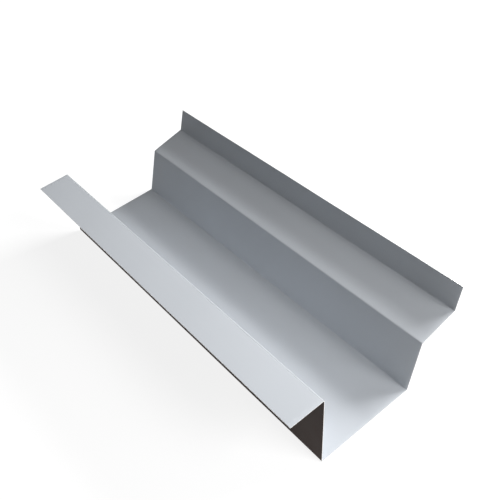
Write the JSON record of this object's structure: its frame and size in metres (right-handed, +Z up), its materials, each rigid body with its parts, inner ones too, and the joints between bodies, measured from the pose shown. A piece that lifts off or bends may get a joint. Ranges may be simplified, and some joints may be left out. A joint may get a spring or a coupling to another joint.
{
  "type": "rain gutter",
  "caption": "Short length of folded sheet-metal rain gutter with a level front flange, a flat-bottomed trough, a steep back wall, a gently rising ledge and a back upstand.",
  "frame": {"origin": "middle of the footprint, on the underside of the floor panel, half way along the length", "axes": "+X from the front flange to the back upstand, +Y along the gutter, +Z up"},
  "size_m": [0.2336, 0.5, 0.0975],
  "materials": {
    "coated_sheet": "satin"
  },
  "bodies": {
    "root": {"gutter_sheet": "coated_sheet"}
  },
  "joints": []
}
